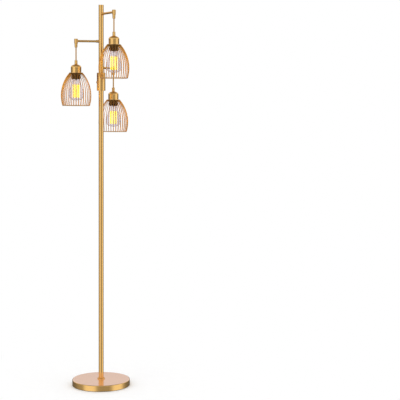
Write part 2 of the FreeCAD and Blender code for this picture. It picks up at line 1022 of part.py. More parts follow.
plate_top = grip_foot - size("cup_height")
plate_foot = plate_top - size("plate_thickness")
socket_top = grip_foot - size("socket_drop")
ceiling = socket_top - size("socket_ceiling")
socket_foot = plate_top - size("socket_skirt_length")
thread_radius = half("socket_thread_diameter")
contact_foot = ceiling - size("contact_thickness")
bulb_top = contact_foot - size("bulb_seat")
bulb_tip = bulb_top - size("bulb_length")
cap_foot = bulb_top - size("cap_height")
bulb_waist = bulb_tip + size("bulb_waist_rise")
neck_radius = half("bulb_neck_diameter")
shell_inner = neck_radius + size("shell_clearance")
socket_bore = shell_inner + size("shell_wall") + size("slip")
cup_inner = half("cup_diameter") - size("cup_wall")


def cord(name):
    """The short cord, with a round end in the clamp and in the grip."""
    return turned(
        f"{name}_cord",
        [
            (ZERO, grip_pivot - cord_radius),
            left(cord_radius, grip_pivot, cord_radius),
            (cord_radius, cord_pivot),
            left(ZERO, cord_pivot + cord_radius, cord_radius),
        ],
    )


def cord_grip(name):
    """The grip on the cup, flared at its top, with a neck through the cup and a hole for wires."""
    outer = half("grip_diameter")
    edge = size("grip_edge")
    neck = half("grip_neck_diameter")
    neck_foot = grip_foot - size("grip_neck_length")
    wire_hole = half("grip_wire_hole")
    floor = grip_pivot - cord_radius - size("cord_clearance")
    return turned(
        f"{name}_cord_grip",
        [
            (mouth(size("sway_angle")), grip_top),
            (cord_bore, grip_pivot),
            (cord_bore, floor),
            (wire_hole, floor),
            (wire_hole, neck_foot),
            (neck, neck_foot),
            (neck, grip_foot),
            (outer, grip_foot),
            (outer, grip_top - edge),
            left(outer - edge, grip_top, edge),
        ],
    )


def socket_cup(name):
    """The brass cup: a shallow cone, a round shoulder and a straight wall."""
    outer = half("cup_diameter")
    wall = size("cup_wall")
    shoulder = size("cup_shoulder_radius")
    angle = size("cup_cone_angle")
    hole = half("grip_neck_diameter") + size("slip")
    brim = half("grip_diameter") + size("cup_flat")
    cone_end = outer - shoulder + shoulder * sine(angle)
    cone_foot = grip_foot - (cone_end - brim) * tangent(angle)
    centre = cone_foot - shoulder * cosine(angle)
    inside = shoulder - wall
    inner_end = outer - shoulder + inside * sine(angle)
    inner_foot = centre + inside * cosine(angle)
    return turned(
        f"{name}_socket_cup",
        [
            (hole, grip_foot),
            (hole, inner_foot + (inner_end - hole) * tangent(angle)),
            (inner_end, inner_foot),
            right(cup_inner, centre, inside),
            (cup_inner, plate_top),
            (outer, plate_top),
            (outer, centre),
            left(cone_end, cone_foot, shoulder),
            (brim, grip_foot),
        ],
    )


def socket_body(name):
    """The black socket: a flange on the cage's plate, a thread through it and a tapered skirt."""
    outer = cup_inner - size("socket_cup_clearance")
    bevel = size("socket_chamfer")
    lip = half("socket_mouth_diameter")
    thread_foot = plate_top - size("socket_thread_length")
    return turned(
        f"{name}_socket_body",
        [
            (ZERO, ceiling),
            (socket_bore, ceiling),
            (socket_bore, cap_foot),
            (lip - size("socket_mouth_wall"), socket_foot),
            (lip, socket_foot),
            (thread_radius, thread_foot),
            (thread_radius, plate_top),
            (outer, plate_top),
            (outer, socket_top - bevel),
            (outer - bevel, socket_top),
            (ZERO, socket_top),
        ],
    )


def socket_contacts(name):
    """The socket's screw shell and its centre contact."""
    shell = sleeve(
        f"{name}_screw_shell",
        shell_inner + size("shell_wall"),
        shell_inner,
        cap_foot,
        ceiling - size("shell_drop"),
    )
    contact = rod(f"{name}_centre_contact", half("contact_diameter"), size("contact_thickness"))
    place(contact, z=contact_foot)
    return group(f"{name}_socket_contacts", [shell, contact])


def shade_ring_nut(name):
    """The ring nut that clamps the cage's plate against the socket's flange."""
    outer = half("plate_diameter") - size("ring_nut_inset")
    inner = thread_radius + size("slip")
    edge = size("ring_nut_edge")
    foot = plate_foot - size("ring_nut_height")
    return turned(
        f"{name}_shade_ring_nut",
        [
            (inner, foot),
            (outer - edge, foot),
            left(outer, foot + edge, edge),
            (outer, plate_foot),
            (inner, plate_foot),
        ],
    )


# each wire is one arc: it starts under the plate, is widest at the waist and ends on the mouth ring
waist_radius = half("cage_waist_diameter")
waist_height = plate_foot - size("cage_waist_drop")
waist_rise = waist_radius - half("plate_diameter") - size("cage_neck_overhang")
waist_drop = size("cage_waist_drop")
outer_bend = (waist_drop * waist_drop + waist_rise * waist_rise) / (waist_rise * 2)
wire_radius = half("wire_diameter")
wire_bend = outer_bend - wire_radius
bend_axis = waist_radius - outer_bend
mouth_height = plate_top - size("cage_height") + half("mouth_ring_wire")
mouth_drop = waist_height - mouth_height
mouth_radius = bend_axis + root(wire_bend * wire_bend - mouth_drop * mouth_drop)


def cage_rings(name):
    """The cage's top plate and the ring at its mouth."""
    hole = thread_radius + size("plate_hole_clearance")
    plate = sleeve(f"{name}_cage_plate", half("plate_diameter"), hole, plate_foot, plate_top)
    ring = new_body(f"{name}_cage_mouth")
    sketch = sketch_on(ring, "XZ_Plane")
    circle(sketch, mouth_radius, mouth_height, half("mouth_ring_wire"))
    revolve(ring, sketch)
    return group(f"{name}_cage_rings", [plate, ring])


def cage_wires(name):
    """The wires, each its own solid, evenly round the cage."""
    body = new_body(f"{name}_cage_wires")
    sketch = sketch_on(body, "XY_Plane", waist_height)
    circle(sketch, waist_radius - wire_radius, ZERO, wire_radius)
    ends = [FreeCAD.Vector(bend_axis.value, way * wire_radius.value, 0) for way in (-1, 1)]
    axis = sketch.addGeometry(Part.LineSegment(*ends), True)
    pin(sketch, axis, 1, bend_axis, -wire_radius)
    pin(sketch, axis, 2, bend_axis, wire_radius)
    climb = (waist_drop - size("wire_gap")) / (wire_bend + wire_radius)
    fall = (mouth_drop - half("mouth_ring_wire") - size("wire_gap")) / wire_bend
    wire = body.newObject("PartDesign::Revolution", f"{name}_wire")
    wire.Profile = sketch
    wire.ReferenceAxis = (sketch, ["Axis0"])
    wire.Type = "TwoAngles"
    # the first angle runs down from the waist and the second runs up
    wire.setExpression("Angle", arcsine(fall).text)
    wire.setExpression("Angle2", arcsine(climb).text)
    polar(body, wire, size("wire_count"))
    return body


def bulb_glass(name):
    """The clear glass: neck, cone, flank, round shoulder and a flat crown."""
    wall = size("glass_wall")
    widest = half("bulb_diameter")
    shoulder = size("bulb_shoulder_radius")
    flank = size("bulb_flank_radius")
    angle = size("bulb_cone_angle")
    side = widest - shoulder
    rise = size("bulb_waist_rise")
    crown = (side * side + rise * rise - shoulder * shoulder) / ((rise - shoulder) * 2)
    crown_centre = bulb_tip + crown
    # the crown meets the shoulder on the line through both centres
    across = side / (crown - shoulder)
    along = (bulb_waist - crown_centre) / (crown - shoulder)

    def face(inset):
        """Corners of the glass from the neck to the tip, inset from its outer face."""
        bend = flank - inset
        neck = neck_radius - inset
        cone_foot = bulb_waist + bend * sine(angle)
        cone_radius = widest - flank + bend * cosine(angle)
        cone_top = cone_foot + (cone_radius - neck) / tangent(angle)
        dome = crown - inset
        return {
            "neck": (neck, cap_foot),
            "cone_top": (neck, cone_top),
            "cone_foot": (cone_radius, cone_foot),
            "waist": (widest - inset, bulb_waist),
            "crown": (dome * across, crown_centre + dome * along),
            "tip": (ZERO, crown_centre - dome),
        }

    outer = face(ZERO)
    inner = face(wall)
    return turned(
        f"{name}_bulb_glass",
        [
            inner["neck"],
            inner["cone_top"],
            inner["cone_foot"],
            right(*inner["waist"], flank - wall),
            right(*inner["crown"], shoulder - wall),
            right(*inner["tip"], crown - wall),
            outer["tip"],
            left(*outer["crown"], crown),
            left(*outer["waist"], shoulder),
            left(*outer["cone_foot"], flank),
            outer["cone_top"],
            outer["neck"],
        ],
    )


def bulb_cap(name):
    """The bulb's screw cap: contact button, insulator and shell."""
    tip = half("cap_tip_diameter")
    tip_foot = bulb_top - size("cap_tip_height")
    shell_top = tip_foot - size("cap_insulator_height")
    wall = size("cap_wall")
    return turned(
        f"{name}_bulb_cap",
        [
            (ZERO, shell_top - wall),
            (neck_radius - wall, shell_top - wall),
            (neck_radius - wall, cap_foot),
            (neck_radius, cap_foot),
            (neck_radius, shell_top),
            (tip, tip_foot),
            (tip, bulb_top),
            (ZERO, bulb_top),
        ],
    )


def bulb_filaments(name):
    """The glass stem with two wire spiders, and the upright filaments between them."""
    stem_foot = cap_foot - size("stem_length")
    rod_foot = stem_foot - size("stem_rod_length")
    top = cap_foot - size("filament_drop")
    foot = bulb_tip + size("filament_tip_gap")
    spoke = size("spoke_size")
    frame = turned(
        f"{name}_filament_frame",
        [
            (ZERO, cap_foot),
            (neck_radius - size("glass_wall") - size("stem_flare_gap"), cap_foot),
            (half("stem_diameter"), cap_foot - size("stem_flare_height")),
            (half("stem_diameter"), stem_foot),
            (half("stem_rod_diameter"), stem_foot),
            (half("stem_rod_diameter"), rod_foot),
            (half("stem_wire_diameter"), rod_foot),
            (half("stem_wire_diameter"), foot - spoke),
            (ZERO, foot - spoke),
        ],
    )
    for level in (top, foot - spoke):
        sketch = sketch_on(frame, "XY_Plane", level)
        outline(
            sketch,
            [
                (ZERO, -spoke / 2),
                (half("filament_ring"), -spoke / 2),
                (half("filament_ring"), spoke / 2),
                (ZERO, spoke / 2),
            ],
        )
        arm = frame.newObject("PartDesign::Pad", f"{name}_spoke")
        arm.Profile = sketch
        arm.setExpression("Length", spoke.text)
        polar(frame, arm, size("filament_count"))
    sticks = new_body(f"{name}_filament_sticks")
    sketch = sketch_on(sticks, "XY_Plane", foot)
    circle(sketch, half("filament_ring"), ZERO, half("filament_diameter"))
    stick = sticks.newObject("PartDesign::Pad", f"{name}_stick")
    stick.Profile = sketch
    stick.setExpression("Length", (top - foot).text)
    polar(sticks, stick, size("filament_count"))
    for piece in (frame, sticks):
        place(piece, azimuth=size("filament_turn"))
    return group(f"{name}_bulb_filaments", [frame, sticks])


PENDANT = [
    cord,
    cord_grip,
    socket_cup,
    socket_body,
    socket_contacts,
    shade_ring_nut,
    cage_rings,
    cage_wires,
    bulb_glass,
    bulb_cap,
    bulb_filaments,
]

for arm_name, arm_level, arm_azimuth in ARMS:
    reach = size("arm_reach")
    for make in PENDANT:
        piece = make(arm_name)
        keep(place(piece, reach * cosine(arm_azimuth), reach * sine(arm_azimuth), arm_level))


# Check and write --------------------------------------------------------------------------------

doc.recompute()
faults = [item.Name for item in doc.Objects if {"Invalid", "Error"} & set(item.State)]
for piece in SUBPARTS:
    if piece.Shape.isNull() or not piece.Shape.isValid() or not piece.Shape.Solids:
        faults.append(piece.Label)
if faults:
    raise RuntimeError(f"these failed: {', '.join(faults)}")

os.makedirs("parts", exist_ok=True)
for piece in SUBPARTS:
    piece.Shape.exportStep(f"parts/{piece.Label}.step")
print(f"{len(SUBPARTS)} sub-parts, {sum(len(piece.Shape.Solids) for piece in SUBPARTS)} solids")
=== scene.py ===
"""Wire cage floor lamp: the finished look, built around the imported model.

Metres, +Z up, the origin on the pole's axis at the floor, the same frame as the model's. Every piece is one
operator's work, and the panel in the 3D view's sidebar lists them in order.
"""

import json
import math

import bmesh
import bpy
from bpy.props import FloatProperty, FloatVectorProperty, IntProperty, PointerProperty
from mathutils import Matrix, Vector


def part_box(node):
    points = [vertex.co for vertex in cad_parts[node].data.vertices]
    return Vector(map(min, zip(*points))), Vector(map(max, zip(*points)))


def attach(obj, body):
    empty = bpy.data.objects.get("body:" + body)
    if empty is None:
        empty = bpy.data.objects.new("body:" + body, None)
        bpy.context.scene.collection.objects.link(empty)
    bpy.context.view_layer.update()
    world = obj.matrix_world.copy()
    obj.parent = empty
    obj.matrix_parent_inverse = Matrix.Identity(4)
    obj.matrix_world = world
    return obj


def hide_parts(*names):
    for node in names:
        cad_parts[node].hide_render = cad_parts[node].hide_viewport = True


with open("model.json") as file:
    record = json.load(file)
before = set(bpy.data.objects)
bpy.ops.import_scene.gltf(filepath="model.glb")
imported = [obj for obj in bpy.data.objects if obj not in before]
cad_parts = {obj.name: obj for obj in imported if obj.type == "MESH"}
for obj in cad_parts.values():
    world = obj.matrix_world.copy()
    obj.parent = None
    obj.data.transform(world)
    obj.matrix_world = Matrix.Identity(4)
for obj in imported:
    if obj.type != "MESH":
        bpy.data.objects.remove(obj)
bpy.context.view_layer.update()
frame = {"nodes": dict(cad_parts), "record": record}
NODES = frame["nodes"]

bl_info = {
    "name": "Wire Cage Floor Lamp",
    "version": (1, 0, 0),
    "blender": (4, 5, 0),
    "location": "3D View > Sidebar > Floor Lamp",
    "description": "Dresses the packed floor lamp: cages, bulbs, cords, metal, camera and light",
    "category": "Object",
}

MM = 0.001
PENDANTS = ("upper", "middle", "lower")


# Places and sizes read from the frame -----------------------------------------------------------


def box_centre(node):
    """The middle of a node's box."""
    low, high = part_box(node)
    return (Vector(low) + Vector(high)) / 2


def axis_of(pendant):
    """A pendant's upright axis, as a point at the floor."""
    centre = box_centre(f"{pendant}_cord")
    return Vector((centre.x, centre.y, 0))


def foot(node):
    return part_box(node)[0][2]


def top(node):
    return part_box(node)[1][2]


def width(node):
    low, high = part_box(node)
    return high[0] - low[0]


WIRE_DIAMETER = 2.25 * MM
CAGE_RADIUS = width("upper_cage_wires") / 2
PLATE_RADIUS = 29.7 * MM
WIRE_OVERHANG = 0.3 * MM
BULB_RADIUS = width("upper_bulb_glass") / 2
CORD_DIAMETER = width("upper_cord")

# Depths under the top of a bulb's stem, and the height of the filaments over its lowest point.
STEM_DEPTH = 41 * MM
FILAMENT_DEPTH = 46 * MM
FILAMENT_RISE = 0.8 * MM

# The pressed glass stem, a flare, a tube and a rod: radius and depth under its top, in millimetres.
STEM_PROFILE = (
    (0, 0),
    (12.2, 0),
    (9, 2.2),
    (5.6, 5),
    (3.6, 9),
    (3.5, 25),
    (2.6, 27.6),
    (1.6, 29),
    (1.5, 41),
    (0.9, 42),
    (0, 42.2),
)

WHITE = (1, 1, 1, 1)

# Scale of the metal's grain along X, Y and Z: fine lines round an upright piece, or even.
BRUSHED = (60, 60, 2600)
EVEN = (700, 700, 700)

# The plating darkens and reddens at a grazing angle.
EDGE_TINT = (0.80, 0.58, 0.45)

# Name, place, diameter and watts of each lamp, and the point at which they aim.
LAMPS = (
    ("key_softbox", (-2.6, -2.6, 3.2), 2.6, 22),
    ("fill_softbox", (2.8, -2.2, 2.4), 2.6, 8),
    ("top_softbox", (0.2, 0.6, 4.0), 2.6, 16),
)
LAMP_AIM = (0, 0, 0.9)

# The studio that metal sees. Headings are in degrees from the front, heights are a direction's Z.
# Each softbox: heading, half width, soft edge, and brightness over the walls.
SOFTBOXES = ((-46, 26, 9, 0.66), (70, 25, 10, 0.66))
BACK_HEADINGS = (95, 135)
BACK_SHARE = 0.45
GROUND_HEIGHTS = (-0.6, -0.28)
BAND_HEIGHTS = (0.12, 0.26)
BAND_BRIGHTNESS = 0.95
CEILING_HEIGHTS = (0.4, 0.8)


# Settings ---------------------------------------------------------------------------------------


class CageSettings(bpy.types.PropertyGroup):
    """The bent wires of each cage."""

    count: IntProperty(name="Wires", description="Bent wires round one cage", default=36, min=3)
    wire: FloatProperty(
        name="Wire", description="Diameter of a bent wire", default=WIRE_DIAMETER, unit="LENGTH"
    )
    radius: FloatProperty(
        name="Radius", description="Outer radius at the waist", default=CAGE_RADIUS, unit="LENGTH"
    )
    waist_drop: FloatProperty(
        name="Waist", description="Depth of the waist under the plate", default=97.4 * MM, unit="LENGTH"
    )
    plate: FloatProperty(
        name="Plate", description="Thickness of the top plate", default=1.6 * MM, unit="LENGTH"
    )
    ring_wire: FloatProperty(
        name="Ring wire", description="Diameter of the mouth ring's wire", default=2.8 * MM, unit="LENGTH"
    )
    weld: FloatProperty(
        name="Weld", description="Radius of a weld bead", default=1.5 * MM, unit="LENGTH"
    )
    colour: FloatVectorProperty(
        name="Colour", description="Plated wire", default=(0.86, 0.43, 0.10), subtype="COLOR"
    )


class BulbSettings(bpy.types.PropertyGroup):
    """The clear bulbs and their upright filaments."""

    count: IntProperty(name="Filaments", description="Upright filaments in one bulb", default=8, min=1)
    filament: FloatProperty(
        name="Filament", description="Diameter of a filament", default=4.0 * MM, unit="LENGTH"
    )
    ring: FloatProperty(
        name="Ring", description="Radius of the ring of filaments", default=14 * MM, unit="LENGTH"
    )
    wall: FloatProperty(
        name="Glass", description="Thickness of the glass", default=0.8 * MM, unit="LENGTH"
    )
    glow: FloatProperty(name="Glow", description="Strength of the filaments' light", default=1.5, min=0)
    colour: FloatVectorProperty(
        name="Colour", description="Lit filament", default=(1.0, 0.93, 0.07), subtype="COLOR"
    )


class MetalSettings(bpy.types.PropertyGroup):
    """The satin brass of the pole, the arms and the cups."""

    colour: FloatVectorProperty(
        name="Colour", description="Satin brass", default=(0.93, 0.57, 0.20), subtype="COLOR"
    )
    # Painted reflection: the paler, more neutral colour given to the base's up-facing top.
    painted_top_reflection_colour: FloatVectorProperty(
        name="Base top", description="Spun face of the base", default=(0.92, 0.59, 0.43), subtype="COLOR"
    )
    roughness: FloatProperty(
        name="Roughness", description="Roughness of the satin", default=0.2, min=0, max=1
    )
    grain: FloatProperty(
        name="Grain", description="Depth of the satin's grain", default=0.02, min=0, max=1
    )


class CordSettings(bpy.types.PropertyGroup):
    """The textile covered cords."""

    diameter: FloatProperty(
        name="Diameter", description="Diameter of a cord", default=CORD_DIAMETER, unit="LENGTH"
    )
    carriers: IntProperty(name="Threads", description="Braid threads round the cord", default=16, min=2)
    lay: FloatProperty(
        name="Lay", description="Length of one turn of the braid", default=20 * MM, unit="LENGTH"
    )
    colour: FloatVectorProperty(
        name="Colour", description="Woven thread", default=(0.50, 0.27, 0.065), subtype="COLOR"
    )


class StageSettings(bpy.types.PropertyGroup):
    """The camera and the studio."""

    distance: FloatProperty(
        name="Distance", description="Camera to the pole's axis", default=4.6, unit="LENGTH"
    )
    height: FloatProperty(name="Height", description="Camera over the floor", default=1.17, unit="LENGTH")
    lens: FloatProperty(name="Lens", description="Focal length in millimetres", default=94.48)
    yaw: FloatProperty(
        name="Yaw", description="Turn to the right", default=math.radians(5.395), subtype="ANGLE"
    )
    pitch: FloatProperty(
        name="Pitch", description="Tilt downwards", default=math.radians(4.318), subtype="ANGLE"
    )
    roll: FloatProperty(
        name="Roll", description="Turn about the view", default=math.radians(0.405), subtype="ANGLE"
    )
    dusk: FloatProperty(name="Walls", description="Studio walls beside the softboxes", default=0.38, min=0)
    ground: FloatProperty(name="Ground", description="Share of it that lies underneath", default=0.62, min=0)
    overhead: FloatProperty(name="Overhead", description="Studio ceiling over the lamp", default=0.28, min=0)
    ambient: FloatProperty(name="Ambient", description="Plain light on matt surfaces", default=0.9, min=0)


# Node trees -------------------------------------------------------------------------------------


class Nodes:
    """Short ways to add nodes to a tree."""

    def __init__(self, tree):
        self.tree = tree

    def node(self, kind, inputs=None, **settings):
        node = self.tree.nodes.new(kind)
        for name, value in settings.items():
            setattr(node, name, value)
        for socket, value in (inputs or {}).items():
            self.feed(node.inputs[socket], value)
        return node

    def feed(self, socket, value):
        if isinstance(value, bpy.types.NodeSocket):
            self.tree.links.new(value, socket)
        else:
            socket.default_value = value

    def maths(self, operation, *values):
        node = self.node("ShaderNodeMath", operation=operation)
        for socket, value in zip(node.inputs, values):
            self.feed(socket, value)
        return node.outputs[0]

    def vector(self, x=0.0, y=0.0, z=0.0):
        return self.node("ShaderNodeCombineXYZ", {"X": x, "Y": y, "Z": z}).outputs[0]


class Shading(Nodes):
    """Short ways to add the nodes of a material or a world."""

    def place(self, centre=(0, 0, 0)):
        """Object coordinates measured from a centre."""
        coordinates = self.node("ShaderNodeTexCoord").outputs["Object"]
        inputs = {"Vector": coordinates, "Location": [-value for value in centre]}
        return self.node("ShaderNodeMapping", inputs).outputs["Vector"]

    def stretch(self, vector, scale):
        return self.node("ShaderNodeMapping", {"Vector": vector, "Scale": scale}).outputs["Vector"]

    def parts(self, vector):
        node = self.node("ShaderNodeSeparateXYZ", {"Vector": vector})
        return node.outputs["X"], node.outputs["Y"], node.outputs["Z"]

    def radius(self, vector):
        """The distance from the Z axis."""
        squares = [self.maths("MULTIPLY", value, value) for value in self.parts(vector)[:2]]
        return self.maths("SQRT", self.maths("ADD", *squares))

    def noise(self, vector, scale, detail=3.0, roughness=0.5):
        inputs = {"Vector": vector, "Scale": scale, "Detail": detail, "Roughness": roughness}
        return self.node("ShaderNodeTexNoise", inputs).outputs["Fac"]

    def span(self, value, low, high, start=0.0, end=1.0, smooth=False):
        """A value's range from low to high, mapped to start to end."""
        kind = "SMOOTHSTEP" if smooth else "LINEAR"
        inputs = {"Value": value, "From Min": low, "From Max": high, "To Min": start, "To Max": end}
        return self.node("ShaderNodeMapRange", inputs, interpolation_type=kind).outputs["Result"]

    def mix(self, amount, first, second):
        node = self.node("ShaderNodeMix", data_type="RGBA")
        for socket, value in zip((node.inputs[0], node.inputs[6], node.inputs[7]), (amount, first, second)):
            self.feed(socket, value)
        return node.outputs[2]


class Shader(Shading):
    """A material with a Principled shader."""

    def __init__(self, name, metallic=0.0, roughness=0.5):
        self.material = bpy.data.materials.new(name)
        self.material.use_nodes = True
        super().__init__(self.material.node_tree)
        self.principled = self.tree.nodes["Principled BSDF"]
        self.output = self.tree.nodes["Material Output"]
        self.set("Metallic", metallic)
        self.set("Roughness", roughness)

    def set(self, socket, value):
        self.feed(self.principled.inputs[socket], value)

    def gloss(self, pattern, spread, roughness):
        """Roughness that follows a pattern, by a spread to each side."""
        self.set("Roughness", self.maths("ADD", self.span(pattern, 0.3, 0.7, -spread, spread), roughness))

    def bump(self, height, strength, distance):
        inputs = {"Height": height, "Strength": strength, "Distance": distance}
        self.set("Normal", self.node("ShaderNodeBump", inputs).outputs["Normal"])


class Tree(Nodes):
    """A Geometry Nodes tree with named inputs."""

    def __init__(self, name, inputs):
        super().__init__(bpy.data.node_groups.new(name, "GeometryNodeTree"))
        for label, kind in inputs.items():
            self.tree.interface.new_socket(label, in_out="INPUT", socket_type=kind)
        self.tree.interface.new_socket("Geometry", in_out="OUTPUT", socket_type="NodeSocketGeometry")
        self.given = self.tree.nodes.new("NodeGroupInput").outputs

    def swept(self, curve, resolution, radius):
        """A round bar along a curve, closed at both ends."""
        inputs = {"Resolution": resolution, "Radius": radius}
        profile = self.node("GeometryNodeCurvePrimitiveCircle", inputs, mode="RADIUS").outputs["Curve"]
        inputs = {"Curve": curve, "Profile Curve": profile, "Fill Caps": True}
        return self.node("GeometryNodeCurveToMesh", inputs).outputs[0]

    def moved(self, geometry, shift, turn=(0, 0, 0)):
        inputs = {"Geometry": geometry, "Translation": shift, "Rotation": turn}
        return self.node("GeometryNodeTransform", inputs).outputs[0]

    def round_the_axis(self, geometry, count, phase=0.0):
        """Copies of a piece, evenly turned round the Z axis."""
        points = self.node("GeometryNodePoints", {"Count": count}).outputs[0]
        number = self.node("GeometryNodeInputIndex").outputs[0]
        steps = self.maths("MULTIPLY", number, self.maths("DIVIDE", math.tau, count))
        turn = self.vector(z=self.maths("ADD", steps, phase))
        inputs = {"Points": points, "Instance": geometry, "Rotation": turn}
        return self.node("GeometryNodeInstanceOnPoints", inputs).outputs[0]

    def finish(self, geometry, material):
        real = self.node("GeometryNodeRealizeInstances", {"Geometry": geometry}).outputs[0]
        smooth = self.node("GeometryNodeSetShadeSmooth", {"Geometry": real}).outputs[0]
        inputs = {"Geometry": smooth, "Material": material}
        painted = self.node("GeometryNodeSetMaterial", inputs).outputs[0]
        self.feed(self.tree.nodes.new("NodeGroupOutput").inputs[0], painted)
        return self.tree


def rgba(colour, brightness=1.0):
    return (*[channel * brightness for channel in colour], 1.0)


# Materials --------------------------------------------------------------------------------------


def plated(name, colour, roughness, grain, streak=BRUSHED):
    """Plated metal with a fine satin grain, slightly uneven in tone and in gloss."""
    shader = Shader(name, metallic=1.0)
    where = shader.place()
    fine = shader.noise(shader.stretch(where, streak), 1.0, 4.0, 0.6)
    tone = shader.span(shader.noise(where, 9.0, 2.0), 0.3, 0.7)
    shader.set("Base Color", shader.mix(tone, rgba(colour, 0.95), rgba(colour)))
    shader.set("Specular Tint", rgba(EDGE_TINT))
    shader.gloss(fine, 0.05, roughness)
    shader.bump(fine, grain, 0.02 * MM)
    return shader.material


def spun_brass(metal):
    """The base's brass: its top is spun, with fine rings round the pole, and faces that point up get a paler
    colour, a painted reflection.
    """
    shader = Shader("base_brass", metallic=1.0)
    where = shader.place()
    # Painted reflection: this mask picks the faces that point up, which get the paler top colour.
    up = shader.parts(shader.node("ShaderNodeNewGeometry").outputs["Normal"])[2]
    face = shader.span(up, 0.55, 0.95, smooth=True)
    wobble = shader.noise(where, 14.0, 2.0)
    turned = shader.vector(shader.maths("MULTIPLY", shader.radius(where), 2600.0), wobble)
    rings = shader.noise(turned, 1.0, 3.0, 0.7)
    shader.set("Base Color", shader.mix(face, rgba(metal.colour), rgba(metal.painted_top_reflection_colour)))
    shader.gloss(rings, 0.045, metal.roughness + 0.005)
    shader.bump(rings, metal.grain, 0.02 * MM)
    return shader.material


def moulded(name, colour, roughness, speckle=2600.0, depth=0.05, sheen=0.5):
    """Moulded plastic or rubber with a fine texture."""
    shader = Shader(name)
    shader.set("Specular IOR Level", sheen)
    where = shader.place()
    fine = shader.noise(where, speckle, 3.0, 0.6)
    patch = shader.span(shader.noise(where, 60.0, 2.0), 0.3, 0.7)
    shader.set("Base Color", shader.mix(patch, rgba(colour, 0.8), rgba(colour, 1.2)))
    shader.gloss(fine, 0.06, roughness)
    shader.bump(fine, 0.3, depth * MM)
    return shader.material


def rough_iron():
    """Sand cast iron."""
    shader = Shader("cast_iron", metallic=1.0, roughness=0.62)
    grains = shader.noise(shader.place(), 700.0, 5.0, 0.7)
    shader.set("Base Color", shader.mix(grains, rgba((0.09, 0.09, 0.09)), rgba((0.24, 0.23, 0.22))))
    shader.bump(grains, 0.8, 0.3 * MM)
    return shader.material


def clear_glass():
    """Clear blown glass, faintly violet where it is thick."""
    shader = Shader("clear_glass", roughness=0.0)
    shader.set("IOR", 1.45)
    shader.set("Transmission Weight", 1.0)
    shader.set("Base Color", rgba((0.985, 0.98, 0.99)))
    shader.bump(shader.noise(shader.place(), 45.0, 2.0), 0.02, 0.3 * MM)
    inputs = {"Color": rgba((0.60, 0.55, 0.68)), "Density": 260.0}
    tint = shader.node("ShaderNodeVolumeAbsorption", inputs).outputs["Volume"]
    shader.feed(shader.output.inputs["Volume"], tint)
    return shader.material


def lit_filament(bulb):
    """A lit filament: yellow, with a row of warmer spots along it."""
    shader = Shader("filament")
    beads = shader.noise(shader.place(), 1500.0, 1.0)
    red, green, blue = bulb.colour
    warm = rgba((red, green * 0.75, blue * 0.4))
    tone = shader.mix(shader.span(beads, 0.25, 0.75), warm, rgba(bulb.colour))
    shader.set("Base Color", tone)
    shader.set("Emission Color", tone)
    shader.set("Emission Strength", bulb.glow)
    return shader.material


def braided(pendant, cord):
    """A woven textile cover: two sets of threads that cross, one over the other, with painted shade that
    darkens the weave's low parts, and a random fibre tone.
    """
    shader = Shader(f"cord_textile_{pendant}", roughness=0.85)
    x, y, z = shader.parts(shader.place(axis_of(pendant)))
    turn = shader.maths("DIVIDE", shader.maths("ARCTAN2", y, x), math.tau)
    climb = shader.maths("DIVIDE", z, cord.lay)
    waves = []
    for way in ("ADD", "SUBTRACT"):
        strand = shader.maths("MULTIPLY", shader.maths(way, turn, climb), cord.carriers)
        waves.append(shader.maths("SINE", shader.maths("MULTIPLY", strand, math.tau)))
    height = shader.span(shader.maths("MULTIPLY", *waves), -1.0, 1.0)
    fibre = shader.noise(shader.place(), 3000.0, 2.0)
    # Painted shade: the weave's low parts are darker and its high parts lighter, mixed with a random fibre
    # tone.
    shade = shader.maths("ADD", shader.maths("MULTIPLY", height, 0.7), shader.maths("MULTIPLY", fibre, 0.3))
    shader.set("Base Color", shader.mix(shade, rgba(cord.colour, 0.8), rgba(cord.colour, 1.15)))
    shader.set("Sheen Weight", 0.25)
    shader.set("Sheen Roughness", 0.4)
    shader.bump(height, 0.5, 0.12 * MM)
    return shader.material


# Meshes -----------------------------------------------------------------------------------------


def mesh_object(name, mesh):
    piece = bpy.data.objects.new(name, mesh)
    bpy.context.scene.collection.objects.link(piece)
    return piece


def smoothed(name, mesh, edge):
    """A mesh as an object, smooth but for edges sharper than an angle in degrees."""
    mesh.shade_smooth()
    mesh.set_sharp_from_angle(angle=math.radians(edge))
    return mesh_object(name, mesh)


def arc(centre, radius, first, last, steps):
    """Points (radius, height) along an arc round a centre, angles in radians from the outward side."""
    angles = [first + (last - first) * step / steps for step in range(steps + 1)]
    return [(centre[0] + radius * math.cos(a), centre[1] + radius * math.sin(a)) for a in angles]


def lathe(name, profile, axis, segments=64, closed=True):
    """Turn a profile of (radius, height) points round an upright axis. A closed profile is a wall."""
    mesh = bmesh.new()
    rings = []
    for radius, height in profile:
        if radius == 0:
            rings.append([mesh.verts.new((axis.x, axis.y, height))])
            continue
        ring = []
        for step in range(segments):
            angle = math.tau * step / segments
            x = axis.x + radius * math.cos(angle)
            y = axis.y + radius * math.sin(angle)
            ring.append(mesh.verts.new((x, y, height)))
        rings.append(ring)
    pairs = list(zip(rings, rings[1:]))
    if closed:
        pairs.append((rings[-1], rings[0]))
    for first, second in pairs:
        if len(first) == len(second) == 1:
            continue
        for step in range(segments):
            after = (step + 1) % segments
            corners = [first[step % len(first)], first[after % len(first)]]
            corners += [second[after % len(second)], second[step % len(second)]]
            mesh.faces.new(list(dict.fromkeys(corners)))
    bmesh.ops.recalc_face_normals(mesh, faces=mesh.faces)
    data = bpy.data.meshes.new(name)
    mesh.to_mesh(data)
    mesh.free()
    return smoothed(name, data, 35)


